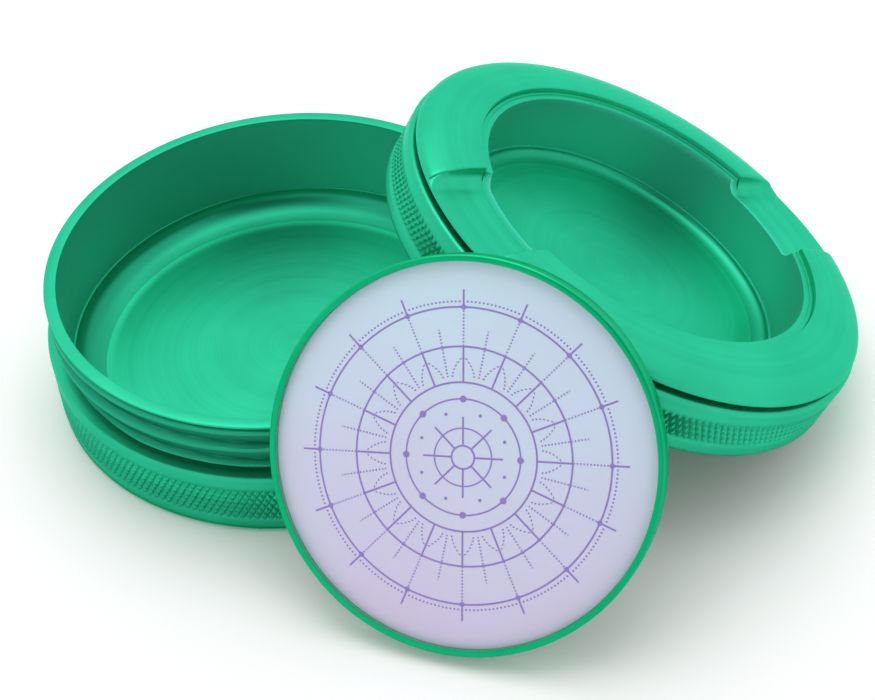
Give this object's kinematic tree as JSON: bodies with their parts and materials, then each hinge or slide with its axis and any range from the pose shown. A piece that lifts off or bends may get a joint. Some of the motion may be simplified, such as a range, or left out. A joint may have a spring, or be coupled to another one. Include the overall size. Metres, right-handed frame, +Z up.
{
  "type": "threaded storage tin with ash tray section",
  "caption": "Round green aluminium storage cup with a screw neck, a knurled tray section with an ash bowl and opposite rests, and a round printed lid, standing apart.",
  "frame": {"origin": "centre of the storage cup's flat underside, on the surface that the set stands on", "axes": "+Z up along the cup's axis; +X towards the side where the tray section leans; the lid leans in front, towards -Y"},
  "size_m": [0.1623, 0.1398, 0.0605],
  "materials": {
    "anodised_green": "satin anodised, fine turning marks",
    "anodised_lid": "satin anodised",
    "seal_rubber": "matt silicone rubber",
    "printed_face": "printed pale blue to lilac with fine violet line art",
    "clear_cover": "clear, polished, slightly domed"
  },
  "bodies": {
    "cup": {"storage_cup": "anodised_green"},
    "gasket": {"tray_gasket": "seal_rubber"},
    "tray": {"tray_body": "anodised_green", "tray_bowl": "anodised_green"},
    "lid": {"lid_plate": "anodised_lid", "lid_print": "printed_face", "lid_cover": "clear_cover", "lid_seal_ring": "seal_rubber"}
  },
  "joints": [
    {"name": "tray_lift", "type": "slide", "parent": "cup", "child": "gasket", "axis": [0.9397, 0, 0.342], "range_m": [0, 0.08]},
    {"name": "tray_turn", "type": "hinge", "parent": "gasket", "child": "tray", "pos_m": [0.06366, -0.01508, 0.02354], "axis": [0.4833, -0.0025, 0.8755], "continuous": true},
    {"name": "lid_lift", "type": "slide", "parent": "cup", "child": "lid", "axis": [-0.3612, -0.7308, 0.5793], "range_m": [0, 0.06]}
  ]
}
